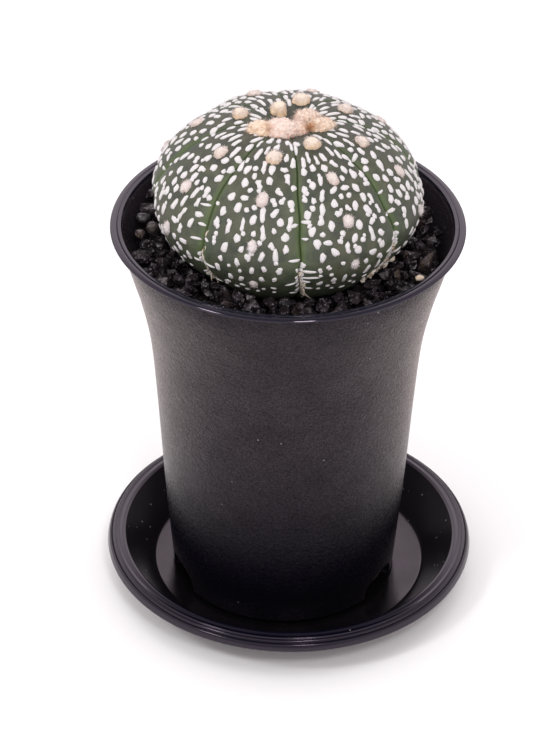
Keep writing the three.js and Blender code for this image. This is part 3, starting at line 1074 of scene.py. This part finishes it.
def groove_dashes(draw):
    """Bars of felt that lie across the skin and end at a groove, and crumbs of it in the groove."""
    dashes = []
    for rib in range(RIBS):
        for side in (-1, 1):
            arc = draw.uniform(30, 38)
            while arc < 55.5:
                length = draw.uniform(1.2, 4.8) * (0.7 if arc < 44 else 1.0)
                start = half_width(rib, fall_at(arc)) - length / 2 - draw.uniform(0.0, 0.5)
                dashes.append((rib, side * start, arc, draw.uniform(0.75, 1.2), length, draw.gauss(0, 0.16)))
                arc += draw.uniform(1.6, 7.4) * (1.5 if arc < 44 else 0.9)
        arc = draw.uniform(41, 46)
        while arc < 56.5:
            length = draw.uniform(1.0, 2.4)
            side = draw.choice((-1, 1)) * (half_width(rib, fall_at(arc)) - draw.uniform(0.1, 0.7))
            dashes.append((rib, side, arc, length, draw.uniform(0.8, 1.7), draw.gauss(0, 0.6)))
            arc += length * draw.uniform(0.35, 0.8)
    return dashes


def make_flecks(material):
    draw = random.Random(17)
    dome = globe_template("fleck", 10, 5)
    shape = bmesh.new()
    for rib, side, arc, length, width, turn in fleck_places(draw) + groove_dashes(draw):
        place = on_skin(rib, side, arc, turn)
        seed = draw.uniform(0, 500)
        pinch = draw.uniform(0.1, 0.5) if max(length, width) > 2.9 else 0.0
        tall = 0.34 if arc < 50 else 0.26

        def felt(point):
            ragged = 1 + 0.4 * rim_noise(point, 1.7, seed)
            waist = 1 - pinch * math.exp(-((point.x if length > width else point.y) / 0.35) ** 2)
            narrow = (ragged * waist, ragged) if width > length else (ragged, ragged * waist)
            return place(Vector((
                point.x * length / 2 * narrow[0],
                point.y * width / 2 * narrow[1],
                point.z * tall,
            )))

        stamp(shape, dome, felt)
    finish_piece("skin_flecks", shape, material)


def fibre_template():
    """Thin three-sided thread along +X, one unit long and cut into four lengths."""
    thread = bmesh.new()
    bmesh.ops.create_cone(
        thread, cap_ends=True, cap_tris=True, segments=3, radius1=1, radius2=0.35, depth=1,
        matrix=Matrix.Translation((0.5, 0, 0)) @ Matrix.Rotation(math.pi / 2, 4, "Y"),
    )
    long_edges = [edge for edge in thread.edges if abs(edge.verts[0].co.x - edge.verts[1].co.x) > 0.5]
    bmesh.ops.subdivide_edges(thread, edges=long_edges, cuts=3)
    return template(thread, "fibre")


def add_fibre(shape, thread, root, aim, length, thickness, curl):
    """Stamps a thread that starts at root, leaves along aim and bends towards curl."""
    aim = aim.normalized()
    side = aim.orthogonal().normalized()
    other = aim.cross(side)

    def place(point):
        along = root + aim * (point.x * length) + curl * (point.x ** 2 * length)
        return along + (side * point.y + other * point.z) * thickness

    return stamp(shape, thread, place)


def skin_normal(rib, across, fall):
    return (skin_point(rib, across, fall, 0.2) - skin_point(rib, across, fall)).normalized()


def make_areoles(material, thread):
    draw = random.Random(23)
    pad = globe_template("areole", 28, 14)
    shape = bmesh.new()
    warmth = []
    wear = []
    for rib, arc in areole_places():
        youth = max(0.0, 1 - (arc - 6) / 16)
        shrunk = 1 - 0.38 * clamped((arc - 30) / 20)
        width = draw.uniform(1.4, 1.6) * shrunk + 0.95 * youth
        length = draw.uniform(1.8, 2.05) * shrunk + 0.3 * youth
        tall = 0.8 + 1.2 * youth
        place = on_skin(rib, AREOLE_SIDES[rib] + draw.uniform(-0.2, 0.2), arc)
        seed = draw.uniform(0, 500)

        def felt(point):
            ragged = 1 + 0.22 * rim_noise(point, 2.6, seed)
            lumps = (0.16 + 0.1 * youth) * noise.noise(point * 4 + Vector((seed, 0, 0)))
            return place(Vector((
                point.x * length * ragged,
                point.y * width * ragged,
                tall * (point.z + lumps if point.z > -0.1 else point.z * 0.5),
            )))

        points = stamp(shape, pad, felt)
        warmth += [min(1.0, youth + draw.uniform(0, 0.15))] * points
        wear += [clamped((arc - 26) / 12)] * points
        for _ in range(AREOLE_HAIRS + int(AREOLE_HAIRS * youth)):
            angle = draw.uniform(0, 2 * math.pi)
            reach = math.sqrt(draw.uniform(0.2, 1.0))
            point = Vector((reach * math.cos(angle), reach * math.sin(angle), 0))
            point.z = math.sqrt(max(0.0, 1 - reach ** 2)) * (0.9 + 0.1 * youth)
            root = felt(point)
            outward = felt(point * 1.25) - root + scatter(draw, 0.12, 0.12, 0.12)
            curl = scatter(draw, 0.35, 0.35, 0.35)
            hair = draw.uniform(0.25, 0.6) * (1 + 0.4 * youth)
            add_fibre(shape, thread, root, outward, hair, HAIR_THICKNESS, curl)
        points = len(shape.verts) - len(warmth)
        warmth += [0.45 * youth] * points
        wear += [0.8] * points
    kept_under(shape, OBJECT_TOP - 0.1)
    finish_piece(
        "areoles", shape, material, values={"warm": warmth, "worn": wear},
    )


# Crown wool
def near_crown(right, front, up):
    """A place beside the growing point, up from the skin there."""
    crown = skin_point(0, 0, 0)
    reach = math.hypot(right, front)
    fall = math.asin((reach / BODY_RADIUS) ** (1 / BODY_POWER))
    return Vector((crown.x + right, crown.y - front, skin_point(0, 0, fall).z + up))


def wool_lobes():
    """Middle, half sizes and warmth of each lump of wool over the growing point."""
    return [
        (near_crown(-2.2, 1.9, 0.9), Vector((4.5, 4.2, 2.5)), 0.0),
        (near_crown(1.9, 0.8, 0.6), Vector((2.9, 3.2, 2.0)), 0.25),
        (near_crown(4.3, -3.6, 0.4), Vector((3.3, 2.6, 2.0)), 0.35),
        (near_crown(-7.4, 2.4, 0.1), Vector((3.4, 3.0, 1.8)), 1.0),
        (near_crown(7.8, 0.4, 0.2), Vector((3.5, 2.7, 1.7)), 0.75),
    ]


def make_wool(material, thread):
    draw = random.Random(31)
    pits = [
        (near_crown(4.9, 1.8, 1.4), 2.2, 1.45),
        (near_crown(-5.4, 3.2, 1.5), 2.3, 0.7),
        (near_crown(7.4, 1.8, 1.2), 2.2, 0.3),
    ]
    ball = ball_template("wool", 5)
    shape = bmesh.new()
    warmth = []
    for middle, sizes, warm in wool_lobes():

        def lump(point):
            spot = scaled(point, sizes) + middle
            swell = 0.5 * noise.noise(spot * 0.55) + 0.34 * noise.noise(spot * 1.6)
            swell += 0.24 * noise.noise(spot * 3.6)
            return spot + point * swell

        warmth += [warm] * stamp(shape, ball, lump)
        for _ in range(WOOL_HAIRS):
            point = Vector((draw.gauss(0, 1), draw.gauss(0, 1), abs(draw.gauss(0, 1)) + 0.1)).normalized()
            root = lump(point)
            aim = point * 0.7 + scatter(draw, 0.8, 0.8, 0.25)
            curl = Vector((draw.gauss(0, 0.5), draw.gauss(0, 0.5), -abs(draw.gauss(0, 0.4))))
            add_fibre(shape, thread, root, aim, draw.uniform(0.4, 1.1), HAIR_THICKNESS, curl)
        warmth += [0.5 * warm] * (len(shape.verts) - len(warmth))
    kept_under(shape, OBJECT_TOP - 0.05)
    browns = [
        max([0.0] + [depth * (1 - (vert.co - pit).length / size) for pit, size, depth in pits])
        for vert in shape.verts
    ]
    finish_piece(
        "wool_tufts", shape, material, ["crown_wool"],
        values={"warm": warmth, "brown": browns},
    )


def make_dried_fibres(material, thread):
    """Crusts of dried felt on the front right rib and, with threads, in the grooves near the base."""
    draw = random.Random(41)
    crust = ball_template("crust", 3)
    shape = bmesh.new()
    warmth = []
    places = []
    for _ in range(FRONT_CRUSTS):
        rib = draw.choice((0, 0, 1))
        side = draw.uniform(0.4, 1) * half_width(rib, fall_at(54)) * (1 if rib == 0 else -1)
        sizes = Vector((draw.uniform(0.4, 1.8), draw.uniform(0.3, 0.9), draw.uniform(0.3, 0.8)))
        places.append((rib, side, draw.gauss(54.2, 1.4), sizes))
    for rib in range(RIBS):
        for _ in range(GROOVE_CRUSTS):
            arc = CREST_LENGTH - abs(draw.gauss(0, 6.5))
            side = draw.uniform(0.0, 0.5) - half_width(rib, fall_at(arc))
            sizes = Vector((draw.uniform(0.4, 1.3), draw.uniform(0.2, 0.4), draw.uniform(0.2, 0.5)))
            places.append((rib, side, arc, sizes))
    for rib, side, arc, sizes in places:
        place = on_skin(rib, side, arc, draw.uniform(-0.8, 0.8))
        seed = Vector((draw.uniform(0, 500), 0, 0))

        def flaky(point):
            swell = 1 + 0.8 * noise.noise(point * 1.8 + seed) + 0.4 * noise.noise(point * 4 + seed)
            return place(scaled(point, sizes, swell))

        warmth += [draw.choice((0.0, 0.1, 0.2, 0.5))] * stamp(shape, crust, flaky)
    for groove in range(RIBS):
        brown = groove == 1
        for _ in range(GROOVE_THREADS):
            arc = CREST_LENGTH - abs(draw.gauss(0, 5.0))
            fall = fall_at(arc)
            across = -1 + draw.uniform(0, 0.1)
            root = skin_point(groove, across, fall, 0.15)
            normal = skin_normal(groove, across, fall)
            down = (skin_point(groove, across, fall + 0.05) - skin_point(groove, across, fall)).normalized()
            hanging = draw.choice((0.2, 1.6))
            aim = normal * draw.uniform(0.1, 0.4) + down * hanging
            aim += scatter(draw, 0.5, 0.5, 0.5)
            curl = scatter(draw, 0.4, 0.4, 0.3)
            length = draw.uniform(0.7, 1.8) * (2.0 if groove == 0 and hanging > 1 else 1.0)
            points = add_fibre(shape, thread, root, aim, length, draw.uniform(0.16, 0.36), curl)
            warm = draw.uniform(0.6, 1.0) if brown else draw.uniform(0.0, 0.35)
            warmth += [warm] * points
    finish_piece("dried_fibres", shape, material, values={"warm": warmth})


# Gravel
def body_radius_at(height):
    """Radius of the body's smooth form at a height below its widest place."""
    cosine = min(1.0, max(0.0, (BODY_EQUATOR - height) / BODY_DROP)) ** (1 / BODY_POWER)
    return BODY_RADIUS * math.sqrt(1 - cosine ** 2) ** BODY_POWER


def gravel_bank(y):
    """Height of the bank of stones behind the plant."""
    return GRAVEL_BACK_RISE * clamped(y / GRAVEL_RISE_DEPTH)


def stone_places(draw):
    """Stones dropped one by one, each on the lowest of a few free places."""
    stones = [(*middle, size) for middle, size, _ in PEBBLES]
    inner, outer = [radius ** 2 for radius in STONE_RING]
    for _ in range(STONE_DROPS):
        radius = draw.uniform(*(SMALL_STONES if draw.random() < SMALL_SHARE else LARGE_STONES))
        shoulder = 0.4 * radius
        best = None
        for _ in range(STONE_TRIES):
            turn = draw.uniform(0, 2 * math.pi)
            reach = math.sqrt(draw.uniform(inner, outer))
            x = POT_X + reach * math.sin(turn)
            y = -reach * math.cos(turn)
            z = BED_TOP + shoulder
            for ox, oy, oz, other in stones:
                near = (x - ox) ** 2 + (y - oy) ** 2
                touch = (radius + other) ** 2
                if near < touch:
                    z = max(z, oz + STONE_NESTING * math.sqrt(touch - near))
            if reach + radius * 0.95 > pot_inner_radius(z):
                continue
            x, y, _ = pressed(Vector((x, y, z)))
            body_reach = body_radius_at(z + shoulder) + 0.55 * radius
            if math.hypot(x - BODY_X, y - BODY_Y) < body_reach:
                continue
            top = GRAVEL_TOP + 2.4 - GRAVEL_TILT * (x + y) + gravel_bank(y)
            if z + shoulder > top:
                continue
            if best is None or z < best[2]:
                best = (x, y, z, radius)
        if best is not None:
            stones.append(best)
    return stones[len(PEBBLES):]


def stone_templates(draw):
    """Angular lava stones, each the hull of a few points round a middle."""
    meshes = []
    for number in range(STONE_SHAPES):
        stone = bmesh.new()
        for _ in range(STONE_CORNERS):
            way = scatter(draw, 1, 1, 1).normalized()
            stone.verts.new(way * draw.uniform(0.72, 1.2))
        hull = bmesh.ops.convex_hull(stone, input=stone.verts)
        loose = [item for item in hull["geom_interior"] if isinstance(item, bmesh.types.BMVert)]
        bmesh.ops.delete(stone, geom=loose, context="VERTS")
        face_outwards(stone)
        meshes.append(template(stone, f"stone_{number}"))
    return meshes


def make_gravel(material):
    draw = random.Random(7)
    shapes = stone_templates(draw)
    heap = bmesh.new()
    tints = []
    for x, y, z, radius in stone_places(draw):
        turn = any_turn(draw, "Z") @ any_turn(draw, "X")
        shares = Vector((draw.uniform(1.0, 1.45), draw.uniform(0.75, 1.1), draw.uniform(0.6, 0.95)))
        sizes = shares * radius
        middle = Vector((x, y, z))
        stone = draw.choice(shapes)
        points = stamp(heap, stone, lambda point: middle + turn @ scaled(point, sizes))
        tints += [draw.random() * 0.9] * points
    smooth = ball_template("pebble", 3)
    for middle, size, tint in PEBBLES:
        turn = any_turn(draw, "Z")
        sizes = Vector((1.25, 0.95, 0.75)) * size

        def pebble(point):
            swell = 1 + 0.25 * noise.noise(point * 1.4 + Vector(middle))
            return Vector(middle) + turn @ scaled(point, sizes, swell)

        tints += [tint] * stamp(heap, smooth, pebble)
    finish_piece(
        "lava_stones", heap, material, ["lava_gravel"], sharp=12, values={"tint": tints},
    )
    bed_corners = [
        (BED_HOLE, GRAVEL_LOW.z, 0),
        (pot_inner_radius(GRAVEL_LOW.z) - 0.35, GRAVEL_LOW.z, 0.3),
        (pot_inner_radius(BED_TOP) - 0.35, BED_TOP, 0.5),
        (body_radius_at(BED_TOP) + 1.0, BED_TOP, 0.3),
        (BED_HOLE, GRAVEL_LOW.z, 0),
    ]
    still_radius = 32
    blend_width = 10
    bed = turned(bed_corners, BED_STEPS, POT_X)
    bmesh.ops.subdivide_edges(bed, edges=bed.edges, cuts=1, use_grid_fill=True)
    bed.verts.ensure_lookup_table()
    for vert in bed.verts:
        reach = math.hypot(vert.co.x - POT_X, vert.co.y)
        inward = clamped((still_radius - reach) / blend_width)
        vert.co = pressed(vert.co) + Vector((BODY_X - POT_X, BODY_Y, 0)) * inward
    values = {"tint": [0.1] * len(bed.verts)}
    finish_piece("gravel_bed", bed, material, values=values)


# Assembly
make_camera()
make_studio()

lava = lava_finish()
thread_mesh = fibre_template()
make_saucer(dusty_plastic(
    "saucer_plastic", grain_depth=0.006, shine=(0.42, 0.55), smooth=(0.16, 0.22), dull=(-20, -10),
    lip_edge=(SAUCER_TOP - 3.6, 0.14, rgb(0.0018, 0.0024, 0.0068)),
))
make_pot(dusty_plastic(
    "pot_plastic", grain_depth=0.11, shine=(0.13, 0.47), smooth=(0.22, 0.32), dull=(28, 66),
    lip_edge=(POT_RIM - 1.15, 0.075, rgb(0.006, 0.0068, 0.013)), bloom=0.17,
))
make_gravel(lava)
make_skin(skin_finish())
make_flecks(felt_finish())
make_areoles(areole_finish(), thread_mesh)
make_wool(wool_finish(), thread_mesh)
make_dried_fibres(fibre_finish(), thread_mesh)

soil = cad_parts["potting_soil"]
soil.data.materials.clear()
soil.data.materials.append(soil_finish())
